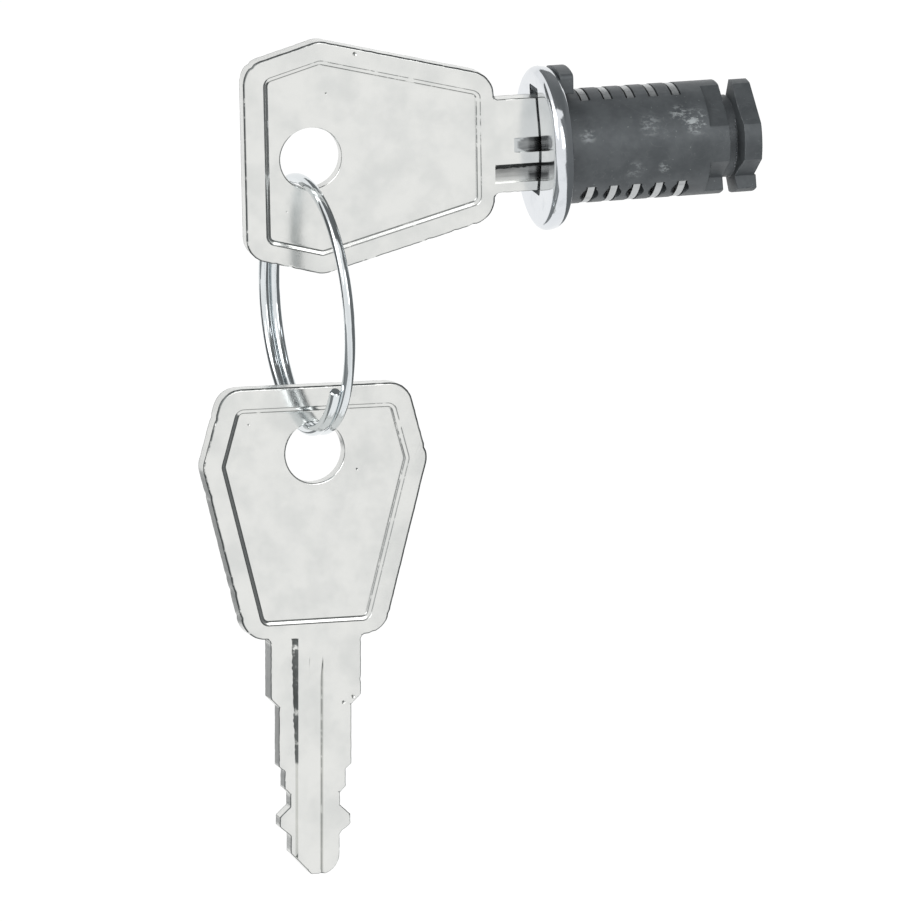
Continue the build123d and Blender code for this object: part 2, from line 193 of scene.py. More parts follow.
class EffectLibrary:
    """Builds each shared node group once and places it in materials."""

    scratch_angles: Profile = [(0.35, 3.0), (1.25, 17.0), (2.5, 41.0)]
    scratch_stretch: Triple = (0.07, 1.1, 1.1)

    def __init__(self) -> None:
        """Makes the four groups."""
        self.groups = {
            Effect.GRAIN: self._grain(),
            Effect.HAIRLINES: self._hairlines(),
            Effect.BROKEN: self._broken(),
            Effect.EDGES: self._edges(),
        }

    @staticmethod
    def _open(effect: Effect, inputs: dict[str, float], outputs: Sequence[str]) -> tuple[Any, ...]:
        """Starts a node group with its sockets: Position and Normal are vectors, the others numbers.

        Args:
            effect: which group.
            inputs: input name to default.
            outputs: output names.

        Returns:
            The group, its graph, its inputs by name and its output node's inputs.
        """
        group = bpy.data.node_groups.new(effect.value, "ShaderNodeTree")
        for side, names in (("INPUT", inputs), ("OUTPUT", outputs)):
            for name in names:
                kind = "NodeSocketVector" if name in ("Position", "Normal") else "NodeSocketFloat"
                socket = group.interface.new_socket(name, in_out=side, socket_type=kind)
                if side == "INPUT" and kind == "NodeSocketFloat":
                    socket.default_value = inputs[name]
        graph = Graph(group)
        given = graph.add("NodeGroupInput").outputs
        return group, graph, given, graph.add("NodeGroupOutput").inputs

    def _grain(self) -> NodeTree:
        """Uneven metal surface: a fine height and a slow tone, both about 0.5.

        Returns:
            The node group.
        """
        inputs = {"Position": 0.0, "Fine": 6.0, "Slow": 0.3}
        group, graph, given, out = self._open(Effect.GRAIN, inputs, ["Height", "Tone"])
        for scale, detail, target in (("Fine", 4.0, "Height"), ("Slow", 3.0, "Tone")):
            graph.feed(out[target], graph.noise(given["Position"], given[scale], detail, 0.6))
        return group

    def _hairlines(self) -> NodeTree:
        """Thin scratches in three directions, each a narrow level line of a stretched noise.

        Returns:
            The node group.
        """
        inputs = {"Position": 0.0, "Width": 0.01, "Amount": 0.5}
        group, graph, given, out = self._open(Effect.HAIRLINES, inputs, ["Mask"])
        masks = []
        for angle, shift in self.scratch_angles:
            sockets = {"Vector": given["Position"], "Location": (shift,) * 3, "Rotation": (0.0, 0.0, angle)}
            turned = graph.add("ShaderNodeMapping", sockets).outputs["Vector"]
            stretched = graph.vector("MULTIPLY", turned, self.scratch_stretch)
            level = graph.maths("ABSOLUTE", graph.maths("SUBTRACT", graph.noise(stretched, 1.0, 1.0), 0.5))
            line = graph.maths("SUBTRACT", 1.0, graph.maths("DIVIDE", level, given["Width"]))
            here = graph.ramp(graph.noise(turned, 0.35), 0.5, 0.62)
            masks.append(graph.maths("MULTIPLY", graph.largest(line, 0.0), here))
        graph.feed(out["Mask"], graph.maths("MULTIPLY", graph.largest(*masks), given["Amount"]))
        return group

    def _broken(self) -> NodeTree:
        """A drawn mask broken up by noise, as painted shade lies along a crease or plating wears off an edge.

        Returns:
            The node group.
        """
        inputs = {"Position": 0.0, "Drawn": 0.0, "Scale": 1.0, "Kept": 0.5}
        group, graph, given, out = self._open(Effect.BROKEN, inputs, ["Mask"])
        noise = graph.noise(given["Position"], given["Scale"], 3.0, 0.65)
        level = graph.plus(graph.maths("SUBTRACT", noise, 0.75), given["Kept"], 0.5)
        graph.feed(out["Mask"], graph.maths("MULTIPLY", graph.ramp(level, -0.05, 0.08), given["Drawn"]))
        return group

    def _edges(self) -> NodeTree:
        """A rounded normal for cast edges, and a mask of where it turns.

        Returns:
            The node group.
        """
        group, graph, given, out = self._open(Effect.EDGES, {"Radius": 0.1, "Reach": 0.1}, ["Normal", "Mask"])
        rounded, wide = (
            graph.add("ShaderNodeBevel", {"Radius": graph.maths("MULTIPLY", given[name], MM)}, samples=6)
            for name in ("Radius", "Reach")
        )
        flat = graph.add("ShaderNodeNewGeometry").outputs["True Normal"]
        turn = graph.vector("DOT_PRODUCT", wide.outputs["Normal"], flat, output="Value")
        graph.feed(out["Normal"], rounded.outputs["Normal"])
        graph.feed(out["Mask"], graph.ramp(turn, 0.995, 0.86))
        return group

    def place(self, graph: Graph, effect: Effect, **sockets: Any) -> Any:
        """Puts one of the groups into a material's graph, feeds it and gives its outputs."""
        return graph.add("ShaderNodeGroup", sockets, node_tree=self.groups[effect]).outputs


def start_material(name: str) -> tuple[Material, Graph, Node]:
    """Makes a material that holds one Principled shader.

    Args:
        name: its name.

    Returns:
        The material, its graph and the shader.
    """
    material = bpy.data.materials.new(name)
    material.use_nodes = True
    graph = Graph(material.node_tree)
    shader = graph.add("ShaderNodeBsdfPrincipled")
    graph.add("ShaderNodeOutputMaterial", {"Surface": shader.outputs["BSDF"]})
    return material, graph, shader


@dataclass(frozen=True)
class NickelFinish:
    """Nickel plate on a coined key: soft mirror, painted shade lines in the creases and along the edges,
    painted shade in the grooves.
    """

    name: str
    plate: Colour = colour(0.76, 0.765, 0.745)
    plate_dull: Colour = colour(0.68, 0.69, 0.675)
    # colours of the painted shade: lines along the creases and edges, and the grooves near the cap
    painted_crease_shade: Colour = colour(0.13, 0.14, 0.14)
    painted_groove_shade: Colour = colour(0.045, 0.047, 0.048)
    least_roughness: float = 0.09
    crease_shade_kept: float = 0.72
    skin_depth: float = 0.006
    shear_stretch: Triple = (5.0, 0.35, 1.0)
    streak_stretch: Triple = (0.25, 3.0, 1.0)
    seed_shift: float = 0.0

    def build(self, effects: EffectLibrary) -> Material:
        """Makes the material.

        Args:
            effects: the shared node groups.

        Returns:
            The material.
        """
        material, graph, shader = start_material(self.name)
        place = graph.vector("ADD", graph.metric("UV"), (self.seed_shift, self.seed_shift * 0.7, 0.0))
        grain = effects.place(graph, Effect.GRAIN, Position=place, Fine=3.5, Slow=0.22)
        lines = effects.place(graph, Effect.HAIRLINES, Position=place, Width=0.006, Amount=0.8)["Mask"]
        # painted shade lines in the creases, along the edges, on the torn groove wall and in the pits, broken
        # up by noise
        creases = {"Position": place, "Drawn": graph.drawn("painted_crease_shade"), "Scale": 0.9, "Kept": self.crease_shade_kept}
        painted_crease_shade = effects.place(graph, Effect.BROKEN, **creases)["Mask"]
        # painted shade and dark reflection in the grooves near the cap, broken into streaks
        streaks = graph.noise(graph.vector("MULTIPLY", place, self.streak_stretch), 1.0, 2.0)
        painted_groove_shade = graph.maths("MULTIPLY", graph.drawn("painted_groove_shade"), graph.ramp(streaks, 0.3, 0.65, 1.0, 0.72))
        plate = graph.mix(graph.ramp(grain["Tone"], 0.35, 0.7), self.plate, self.plate_dull)
        coloured = graph.mix(painted_groove_shade, graph.mix(painted_crease_shade, plate, self.painted_crease_shade), self.painted_groove_shade)
        graph.feed(shader.inputs["Base Color"], coloured)
        wall = graph.drawn("wall")
        rough = graph.plus(self.least_roughness, grain["Tone"], 0.1)
        rough = graph.plus(rough, painted_crease_shade, 0.3)
        graph.feed(shader.inputs["Roughness"], graph.plus(rough, graph.largest(wall, painted_groove_shade), 0.16))
        sheared = graph.noise(graph.vector("MULTIPLY", place, self.shear_stretch), 1.0, 3.0)
        height = graph.plus(graph.maths("MULTIPLY", grain["Height"], 0.35), lines, -0.5)
        height = graph.plus(height, graph.maths("MULTIPLY", sheared, wall), 3.0)
        graph.feed(shader.inputs["Normal"], graph.bump(height, 0.35, self.skin_depth))
        shader.inputs["Metallic"].default_value = 1.0
        return material


@dataclass(frozen=True)
class Scuff:
    """A rubbed patch of the casting."""

    centre: Triple
    reach: float
    strength: float


@dataclass(frozen=True)
class CastFinish:
    """Dark zinc casting: matt skin, fine pits, pale rubbed scuffs and lighter edges."""

    name: str
    skin: Colour = colour(0.118, 0.13, 0.138)
    skin_dark: Colour = colour(0.086, 0.096, 0.103)
    rubbed: Colour = colour(0.42, 0.45, 0.46)
    roughness: float = 0.46
    metallic: float = 0.35
    skin_depth: float = 0.03
    edge_round: float = 0.16
    edge_reach: float = 0.12
    tear_stretch: Triple = (0.8, 1.0, 1.5)
    scuffs: tuple[Scuff, ...] = (
        Scuff((13.4, -4.95, 2.8), 1.7, 1.0),
        Scuff((11.8, -4.45, 3.5), 1.3, 0.8),
        Scuff((2.1, -5.36, 2.1), 1.1, 0.5),
        Scuff((10.0, -5.53, -1.6), 0.9, 0.6),
        Scuff((6.9, -5.5, -1.7), 1.3, 0.35),
        Scuff((8.6, -5.05, 2.7), 1.5, 0.4),
    )

    def scuff_mask(self, graph: Graph, place: Any) -> Any:
        """Torn patches where the casting has been rubbed.

        Args:
            graph: the material's graph.
            place: coordinates in millimetres.

        Returns:
            The mask's output.
        """
        patches = []
        for scuff in self.scuffs:
            away = graph.vector("DISTANCE", place, scuff.centre, output="Value")
            patches.append(graph.ramp(away, scuff.reach, scuff.reach * 0.3, 0.0, scuff.strength))
        tears = graph.noise(graph.vector("MULTIPLY", place, self.tear_stretch), 1.7, 5.0, 0.72)
        return graph.maths("MULTIPLY", graph.largest(*patches), graph.ramp(tears, 0.47, 0.6))

    def build(self, effects: EffectLibrary) -> Material:
        """Makes the material.

        Args:
            effects: the shared node groups.

        Returns:
            The material.
        """
        material, graph, shader = start_material(self.name)
        place = graph.metric("Object")
        grain = effects.place(graph, Effect.GRAIN, Position=place, Fine=7.0, Slow=0.45)
        edges = effects.place(graph, Effect.EDGES, Radius=self.edge_round, Reach=self.edge_reach)
        lines = effects.place(graph, Effect.HAIRLINES, Position=place, Width=0.012, Amount=1.0)["Mask"]
        worn = effects.place(graph, Effect.BROKEN, Position=place, Drawn=edges["Mask"], Scale=1.6, Kept=0.42)
        specks = graph.ramp(graph.noise(place, 3.2, 2.0), 0.71, 0.76)
        scuff = self.scuff_mask(graph, place)
        faint = [(worn["Mask"], 0.4), (specks, 0.35), (lines, 0.08)]
        rubbed = graph.largest(scuff, *[graph.maths("MULTIPLY", mask, share) for mask, share in faint])
        skin = graph.mix(graph.ramp(grain["Tone"], 0.3, 0.7), self.skin_dark, self.skin)
        graph.feed(shader.inputs["Base Color"], graph.mix(rubbed, skin, self.rubbed))
        graph.feed(shader.inputs["Roughness"], graph.plus(self.roughness, rubbed, -0.12))
        height = graph.plus(grain["Height"], scuff, 0.6)
        normal = graph.bump(height, 0.5, self.skin_depth, Normal=edges["Normal"])
        graph.feed(shader.inputs["Normal"], normal)
        shader.inputs["Metallic"].default_value = self.metallic
        return material


@dataclass(frozen=True)
class BrightFinish:
    """Bright metal seen close: a clean mirror or a ground face, with light wear."""

    name: str
    metal: Colour
    dulled: Colour = colour(0.66, 0.69, 0.71)
    roughness: float = 0.05
    grain_scale: float = 2.0
    grain_depth: float = 0.002
    stretch: Triple = (1.0, 1.0, 1.0)
    coordinates: str = "Object"

    def build(self, effects: EffectLibrary) -> Material:
        """Makes the material.

        Args:
            effects: the shared node groups.

        Returns:
            The material.
        """
        material, graph, shader = start_material(self.name)
        place = graph.metric(self.coordinates)
        stretched = graph.vector("MULTIPLY", place, self.stretch)
        grain = effects.place(graph, Effect.GRAIN, Position=stretched, Fine=self.grain_scale, Slow=0.4)
        lines = effects.place(graph, Effect.HAIRLINES, Position=place, Width=0.008, Amount=0.6)["Mask"]
        dull = graph.largest(graph.ramp(grain["Tone"], 0.5, 0.85), lines)
        graph.feed(shader.inputs["Base Color"], graph.mix(dull, self.metal, self.dulled))
        graph.feed(shader.inputs["Roughness"], graph.plus(self.roughness, dull, 0.08))
        height = graph.plus(grain["Height"], lines, -0.3)
        graph.feed(shader.inputs["Normal"], graph.bump(height, 0.5, self.grain_depth))
        shader.inputs["Metallic"].default_value = 1.0
        return material


def finish_piece(piece: Object, material: Material) -> None:
    """Dresses a piece and logs its vertex count and material.

    Args:
        piece: mesh object.
        material: its material.
    """
    piece.data.materials.clear()
    piece.data.materials.append(material)
    LOG.info("%s: %d vertices, %s", piece.name, len(piece.data.vertices), material.name)


def signed_area(loop: np.ndarray) -> float:
    """Area inside a closed loop, positive when it runs anticlockwise."""
    after = np.roll(loop, -1, axis=0)
    return float(np.sum(loop[:, 0] * after[:, 1] - after[:, 0] * loop[:, 1]) / 2)


def rise(values: np.ndarray, width: Any = 1.0) -> np.ndarray:
    """Climbs from 0 to 1 over the width."""
    return np.clip(values / width, 0, 1)


def circle_loop(x: float, y: float, radius: float, count: int) -> np.ndarray:
    """Points round a circle, anticlockwise."""
    angles = np.linspace(0, 2 * math.pi, count, endpoint=False)
    return np.stack([x + radius * np.cos(angles), y + radius * np.sin(angles)], axis=1)


def subdivide(points: Sequence[Vector], step: float) -> np.ndarray:
    """Closed loop with its long runs divided.

    Args:
        points: corners and arc points, in order.
        step: longest run to leave.

    Returns:
        The points as rows.
    """
    fine = []
    for here, there in zip(points, [*points[1:], points[0]]):
        count = max(1, math.ceil((there - here).length / step))
        fine += [here.lerp(there, i / count) for i in range(count)]
    return np.array([tuple(p) for p in fine])


def rounded_loop(corners: Sequence[Triple], step: float, turn_step: float = math.radians(9)) -> np.ndarray:
    """Closed outline with rounded corners.

    Args:
        corners: x, y and corner radius, in order.
        step: longest straight run between points.
        turn_step: largest turn between the points of a rounded corner.

    Returns:
        The points as rows, anticlockwise.
    """
    points: list[Vector] = []
    for index, (x, y, radius) in enumerate(corners):
        corner = Vector((x, y))
        to_before = (Vector(corners[index - 1][:2]) - corner).normalized()
        to_after = (Vector(corners[(index + 1) % len(corners)][:2]) - corner).normalized()
        half = to_before.angle(to_after) / 2
        if radius <= 0 or half > math.radians(89):
            points.append(corner)
            continue
        centre = corner + (to_before + to_after).normalized() * (radius / math.sin(half))
        start = corner + to_before * (radius / math.tan(half)) - centre
        sweep = start.angle_signed(corner + to_after * (radius / math.tan(half)) - centre)
        count = max(2, math.ceil(abs(sweep) / turn_step))
        for i in range(count + 1):
            angle = -sweep * i / count
            cosine, sine = math.cos(angle), math.sin(angle)
            turned = (start.x * cosine - start.y * sine, start.x * sine + start.y * cosine)
            points.append(centre + Vector(turned))
    loop = subdivide(points, step)
    return loop if signed_area(loop) > 0 else loop[::-1]


def inward_normals(loop: np.ndarray) -> np.ndarray:
    """Inward normals of a closed loop, lengthened at its corners so that an inset stays parallel.

    Args:
        loop: the loop's points, anticlockwise.

    Returns:
        One vector per point.
    """
    ahead = np.roll(loop, -1, axis=0) - loop
    ahead /= np.linalg.norm(ahead, axis=1)[:, None]
    behind = np.roll(ahead, 1, axis=0)
    left = np.stack([-(ahead + behind)[:, 1], (ahead + behind)[:, 0]], axis=1)
    spread = 1 + np.sum(ahead * behind, axis=1)
    return left / np.maximum(spread, 0.5)[:, None]


def loop_distance(points: np.ndarray, loop: np.ndarray) -> np.ndarray:
    """Distance from each point to the nearest run of a closed loop.

    Args:
        points: rows to measure from.
        loop: the loop's points.

    Returns:
        One distance per point.
    """
    least = np.full(len(points), np.inf)
    for start, end in zip(loop, np.roll(loop, -1, axis=0)):
        run = end - start
        share = np.clip((points - start) @ run / max(run @ run, 1e-12), 0, 1)
        least = np.minimum(least, np.linalg.norm(points - start - share[:, None] * run, axis=1))
    return least


def inside_loop(points: np.ndarray, loop: np.ndarray) -> np.ndarray:
    """Whether each point lies inside a closed loop.

    Args:
        points: rows to test.
        loop: the loop's points.

    Returns:
        One truth value per point.
    """
    inside = np.zeros(len(points), bool)
    for (ax, ay), (bx, by) in zip(loop, np.roll(loop, -1, axis=0)):
        crosses = (ay > points[:, 1]) != (by > points[:, 1])
        if abs(by - ay) > 1e-12:
            inside ^= crosses & (points[:, 0] < (bx - ax) * (points[:, 1] - ay) / (by - ay) + ax)
    return inside


@dataclass
class Plate:
    """A flat blank meshed in the plane, which its maker then shapes on both faces."""

    outline: np.ndarray
    hole: np.ndarray
    lines: list[tuple[np.ndarray, bool]]

    def triangulate(self) -> tuple[np.ndarray, np.ndarray]:
        """Meshes the plate with every line as an edge.

        Returns:
            The points, and the triangles as rows of indexes, anticlockwise.
        """
        points: list[Vector] = []
        edges: list[tuple[int, int]] = []
        for line, joined in [(self.outline, True), (self.hole, True), *self.lines]:
            first = len(points)
            points += [Vector(p) for p in line]
            edges += [(first + i, first + i + 1) for i in range(len(line) - 1)]
            if joined:
                edges.append((len(points) - 1, first))
        made, _, faces, *_ = delaunay_2d_cdt(points, edges, [], 0, 1e-5)
        flat = np.array([tuple(p) for p in made])
        triangles = np.array([tuple(f) for f in faces])
        middles = flat[triangles].mean(axis=1)
        return flat, triangles[inside_loop(middles, self.outline) & ~inside_loop(middles, self.hole)]


def boundary_runs(triangles: np.ndarray) -> list[list[int]]:
    """Joins the edges that only one triangle uses into closed runs.

    Args:
        triangles: rows of indexes.

    Returns:
        The runs' indexes, in the triangles' own direction.
    """
    directed = {(int(t[i]), int(t[(i + 1) % 3])) for t in triangles for i in range(3)}
    after = {a: b for a, b in directed if (b, a) not in directed}
    runs = []
    while after:
        start, here = next(iter(after.items()))
        run = [start]
        del after[start]
        while here != start:
            run.append(here)
            here = after.pop(here)
        runs.append(run)
    return runs


@dataclass
class Skin:
    """Rows of points and the faces between them, gathered while a piece is put together."""

    rows: list[np.ndarray] = field(default_factory=list)
    faces: list[tuple[int, ...]] = field(default_factory=list)
    total: int = 0

    def add(self, row: np.ndarray) -> np.ndarray:
        """Adds a row of points and gives their indexes."""
        self.rows.append(row)
        self.total += len(row)
        return np.arange(self.total - len(row), self.total)

    def points(self) -> np.ndarray:
        """All the points, in millimetres."""
        return np.concatenate(self.rows)


def mesh_piece(
    name: str,
    points: np.ndarray,
    faces: Iterable[Sequence[int]],
    sharp_deg: float = 38.0,
    weighted: bool = False,
) -> Object:
    """Makes a smooth-shaded mesh object with its steep edges kept sharp.

    Args:
        name: the piece's name.
        points: rows of coordinates in millimetres.
        faces: rows of indexes.
        sharp_deg: edges that turn more than this stay sharp.
        weighted: whether wide faces keep their own normal right up to a rounded edge.

    Returns:
        The new object, linked to the scene.
    """
    mesh = bpy.data.meshes.new(name)
    mesh.from_pydata([tuple(p) for p in points * MM], [], [tuple(int(i) for i in f) for f in faces])
    mesh.validate()
    mesh.shade_smooth()
    mesh.set_sharp_from_angle(angle=math.radians(sharp_deg))
    piece = bpy.data.objects.new(name, mesh)
    bpy.context.scene.collection.objects.link(piece)
    if weighted:
        modifier = piece.modifiers.new("flat_faces", "WEIGHTED_NORMAL")
        modifier.keep_sharp = True
    return piece


def store_values(piece: Object, name: str, values: np.ndarray, domain: str = "POINT") -> None:
    """Stores a number per point or corner for the piece's material to read."""
    attribute = piece.data.attributes.new(name, "FLOAT", domain)
    attribute.data.foreach_set("value", values.astype(np.float32))


def store_uvs(piece: Object, uvs: Sequence[Sequence[tuple[float, float]]]) -> None:
    """Stores flat coordinates, given in millimetres, as the piece's UV map.

    Args:
        piece: mesh object.
        uvs: one row per face, one pair per corner.
    """
    layer = piece.data.uv_layers.new(name="flat")
    flat = np.array([value * MM for face in uvs for pair in face for value in pair], np.float32)
    layer.data.foreach_set("uv", flat)


class KeySide(Enum):
    """Faces of a key."""

    STAMPED = 1
    BACK = -1


@dataclass(frozen=True)
class Pit:
    """A small dent in both faces of a key."""

    x: float
    y: float
    radius: float
    depth: float


@dataclass
class Key:
    """A flat key: bow with a coined panel on both faces, hole, cut and grooved blade."""

    node: str
    body: str
    origin: Vector
    along: Vector
    across: Vector
    finish: NickelFinish
    half_thick: float
    seed: int
    pits: list[Pit]
    groove_shade: float = 0.0
    length: float = 50.0
    bow_end_half: float = 9.65
    bow_wide_half: float = 11.8
    bow_wide_x: float = 7.73
    bow_shoulder_half: float = 7.25
    bow_length: float = 25.5
    bow_end_round: float = 2.4
    bow_wide_round: float = 2.5
    bow_shoulder_round: float = 2.6
    neck_round: float = 0.45
    hole_x: float = 6.75
    hole_radius: float = 3.1
    border_end: float = 2.0
    border_side: float = 1.85
    border_shoulder: float = 1.4
    panel_round: float = 1.0
    panel_slope: float = 0.5
    panel_depth: float = 0.27
    blade: Profile = field(default_factory=lambda: [
        (25.5, 4.75), (31.6, 4.75), (32.6, 3.75), (38.7, 3.75), (39.2, 3.15), (41.0, 3.15),
        (41.6, 2.55), (42.9, 2.55), (43.9, 3.65), (44.9, 3.65), (45.9, 2.5),
    ])
    cut_round: float = 0.12
    tip_start: float = 47.7
    tip_start_round: float = 0.2
    tip_half: float = 2.5
    tip_flat: float = 0.35
    tip_flat_round: float = 0.3
    tip_round: float = 2.1
    groove_depth: float = 0.5
    groove_wall: float = 0.06
    groove_ramp: float = 0.12
    edge_groove_top: float = 1.9
    edge_groove_low: float = 3.75
    least_wall: float = 0.1
    wall_growth: float = 0.36
    torn_end: float = 38.5
    mid_groove_half: float = 0.75
    mid_groove_start: float = 27.7
    mid_groove_runout: float = 3.0
    back_groove_middle: float = 2.2
    back_groove_half: float = 0.7
    bow_edge_round: float = 0.18
    blade_edge_round: float = 0.08
    hole_edge_round: float = 0.15
    shade_start: float = 28.6
    shade_end: float = 36.5
    shade_fall: float = 0.9
    middle_shade: float = 0.75
    grid_step: float = 0.4
    blade_step: float = 0.3
    edge_wear: float = 0.03
    nick_count: int = 26
    nick_depth: tuple[float, float] = (0.03, 0.1)
    edge_guards: tuple[float, ...] = (0.134, 0.5, 1.0, 1.4)
    hole_guards: tuple[float, ...] = (0.134, 0.5, 1.0, 1.5)
    pit_guards: tuple[float, ...] = (0.35, 0.7, 1.0, 1.2)
    wall_shares: tuple[float, ...] = (0.0, 0.1, 0.5, 0.9, 1.0)

    def outline(self) -> np.ndarray:
        """Outer edge of the key, with small nicks that leave its furthest reaches alone.

        Returns:
            The loop's points.
        """
        upper = [
            (0.0, self.bow_end_half, self.bow_end_round),
            (self.bow_wide_x, self.bow_wide_half, self.bow_wide_round),
            (self.bow_length, self.bow_shoulder_half, self.bow_shoulder_round),
            (self.bow_length, self.blade[0][1], self.neck_round),
            *[(x, y, self.cut_round) for x, y in self.blade[1:]],
        ]
        tip = [
            (self.length, self.tip_half, self.tip_round),
            (self.length, -self.tip_flat, self.tip_flat_round),
            (self.tip_start, -self.tip_half, self.tip_start_round),
        ]
        lower = [(x, -y, radius) for x, y, radius in reversed(upper)]
        loop = rounded_loop([*upper, *tip, *lower], self.grid_step)
        dice = random.Random(self.seed)
        depth = np.array([dice.uniform(0.0, self.edge_wear) for _ in loop])
        for _ in range(self.nick_count):
            nick = dice.randrange(len(loop))
            depth[nick] += dice.uniform(*self.nick_depth)
        x, y = loop[:, 0], np.abs(loop[:, 1])
        depth[(x < 1e-3) | (x > self.length - 1e-3) | (y > self.bow_wide_half - 0.2)] = 0.0
        return loop + inward_normals(loop) * depth[:, None]

    def panel(self, inset: float) -> np.ndarray:
        """Outline of the coined panel, drawn in by the inset.

        Args:
            inset: distance in from the top of the slope.

        Returns:
            The loop's points.
        """
        near_slope = (self.bow_wide_half - self.bow_end_half) / self.bow_wide_x
        far_slope = (self.bow_wide_half - self.bow_shoulder_half) / (self.bow_length - self.bow_wide_x)
        near_drop = self.border_side * math.hypot(1, near_slope)
        far_drop = self.border_side * math.hypot(1, far_slope)
        peak_x = self.bow_wide_x + (near_drop - far_drop) / (near_slope + far_slope)
        end_x, shoulder_x = self.border_end, self.bow_length - self.border_shoulder
        end_y = self.bow_end_half + near_slope * end_x - near_drop
        peak_y = self.bow_end_half + near_slope * peak_x - near_drop
        shoulder_y = self.bow_wide_half - far_slope * (shoulder_x - self.bow_wide_x) - far_drop
        upper = [(end_x, end_y), (peak_x, peak_y), (shoulder_x, shoulder_y)]
        corners = [(x, y, self.panel_round) for x, y in upper]
        corners += [(x, -y, self.panel_round) for x, y in reversed(upper)]
        loop = rounded_loop(corners, self.grid_step)
        return loop + inward_normals(loop) * inset

    def into_panel(self, points: np.ndarray) -> np.ndarray:
        """Distance of each point inside the panel's edge, negative outside it."""
        edge = self.panel(0.0)
        return loop_distance(points, edge) * np.where(inside_loop(points, edge), 1, -1)

    def edge_round(self, x: np.ndarray) -> np.ndarray:
        """Radius of the outer edge at each station."""
        return np.where(x < self.bow_length, self.bow_edge_round, self.blade_edge_round)

    def wall_width(self, x: np.ndarray) -> np.ndarray:
        """Width of the torn sloping wall of the edge groove at each station."""
        # waves of unlike lengths make the wall's foot ragged
        torn = 0.1 * np.sin(x * 4.1) * np.sin(x * 9.7 + 1.0) + 0.07 * np.sin(x * 17.3)
        share = rise(self.torn_end - x, self.torn_end - self.bow_length)
        return self.least_wall + self.wall_growth * share + np.abs(torn) * rise(share * 4)

    def crease_profile(self) -> tuple[list[float], list[float]]:
        """Distances inside the panel's edge, and the depth below the border at each."""
        slope, depth = self.panel_slope, self.panel_depth
        away = [-0.1, -0.02, 0.05, 0.12, 0.2, slope - 0.16, slope - 0.08, slope, slope + 0.1, slope + 0.2]
        return away, [0.0, 0.0, 0.06, 0.11, 0.12, 0.14, depth - 0.06, depth + 0.01, depth, depth]

    def groove_share(self, x: np.ndarray, y: np.ndarray, side: KeySide) -> np.ndarray:
        """How far the blade's grooves reach down at each point, as a share of their depth.

        Args:
            x: stations along the key.
            y: heights across it.
            side: which face.

        Returns:
            One share per point.
        """
        opened = rise(x - self.bow_length, self.groove_ramp)
        if side is KeySide.BACK:
            reach = self.back_groove_half - np.abs(y - self.back_groove_middle)
            return rise(reach, self.groove_wall) * opened
        edge = rise(-self.edge_groove_top - y, self.wall_width(x)) * (y >= -self.edge_groove_low - 0.01)
        run = rise(x - self.mid_groove_start, self.mid_groove_runout)
        middle = (1 - (1 - run) ** 2) * rise(self.mid_groove_half - np.abs(y), self.groove_wall)
        return np.where(x > self.bow_length, np.maximum(edge * opened, middle), 0)

    def height(self, points: np.ndarray, outline: np.ndarray, hole: np.ndarray, side: KeySide) -> np.ndarray:
        """Height of one face above the key's middle plane.

        Args:
            points: rows of station and height across the key.
            outline: the outer loop.
            hole: the hole's loop.
            side: which face.

        Returns:
            One height per point.
        """
        x, y = points[:, 0], points[:, 1]
        top = self.half_thick - np.interp(self.into_panel(points), *self.crease_profile())
        top -= self.groove_depth * self.groove_share(x, y, side)
        for pit in self.pits:
            top -= pit.depth * rise(1 - (np.hypot(x - pit.x, y - pit.y) / pit.radius) ** 2)
        rounds = ((outline, self.edge_round(x)), (hole, np.full(len(points), self.hole_edge_round)))
        for loop, radius in rounds:
            gap = np.clip(radius - loop_distance(points, loop), 0, radius)
            top -= radius - np.sqrt(np.maximum(radius**2 - gap**2, 0))
        return top

    def painted_crease_shade(self, points: np.ndarray, outline: np.ndarray, side: KeySide) -> np.ndarray:
        """Where painted shade lines lie on one face.

        Args:
            points: rows of station and height across the key.
            outline: the outer loop.
            side: which face.

        Returns:
            A share per point, 0 to 1.
        """
        x, y = points[:, 0], points[:, 1]
        inside = self.into_panel(points)
        # painted shade lines: top and foot of the panel's slope, then the turn of the outer edge
        marks = [
            0.9 * (np.abs(inside - 0.05) < 0.06),
            1.0 * (np.abs(inside - self.panel_slope + 0.08) < 0.03),
            1.0 * (loop_distance(points, outline) < 0.6 * self.edge_round(x)),
        ]
        if side is KeySide.STAMPED:
            # painted shade on the torn wall of the edge groove and along the middle groove's edge
            drop = -self.edge_groove_top - y
            on_wall = (drop > -0.001) & (drop < self.wall_width(x) + 0.001)
            marks.append(0.9 * (on_wall & (x > self.bow_length) & (x < self.torn_end)))
            line = np.abs(np.abs(y) - self.mid_groove_half + self.groove_wall) < 0.01
            marks.append(0.45 * (line & (x > self.mid_groove_start)))
        # painted shade in the pits
        marks += [1.0 * (np.hypot(x - pit.x, y - pit.y) < pit.radius * 0.6) for pit in self.pits]
        return np.max(np.stack(marks), axis=0)

    def painted_groove_shade(self, x: np.ndarray, y: np.ndarray) -> np.ndarray:
        """Painted shade in the grooves between the bow and the cap, darkest towards the slot.

        Args:
            x: stations along the key.
            y: heights across it.

        Returns:
            A share per point, 0 to 1.
        """
        depth = (-self.edge_groove_top - y) / (self.edge_groove_low - self.edge_groove_top)
        slot = rise(x - self.shade_start, 0.6)
        edge = np.maximum(1.0 - self.shade_fall * rise(depth) ** 1.6, slot)
        edge *= (depth > -0.001) * (depth < 0.999)
        past = x - self.mid_groove_start
        spread = self.mid_groove_half * np.clip(0.4 + past / 2.0, 0, 1.03)
        middle = np.maximum(self.middle_shade, slot) * (past > 0.05) * (np.abs(y) < spread)
        near = (x > self.bow_length + 0.01) & (x < self.shade_end)
        return self.groove_shade * near * np.maximum(edge, middle)

    def groove_curves(self) -> list[np.ndarray]:
        """Lines along the grooves' edges, walls and floors, and across the blade's foot.

        Returns:
            Open rows of points.
        """
        foot = self.bow_length + self.groove_ramp
        stations = np.arange(foot, self.length, self.blade_step)
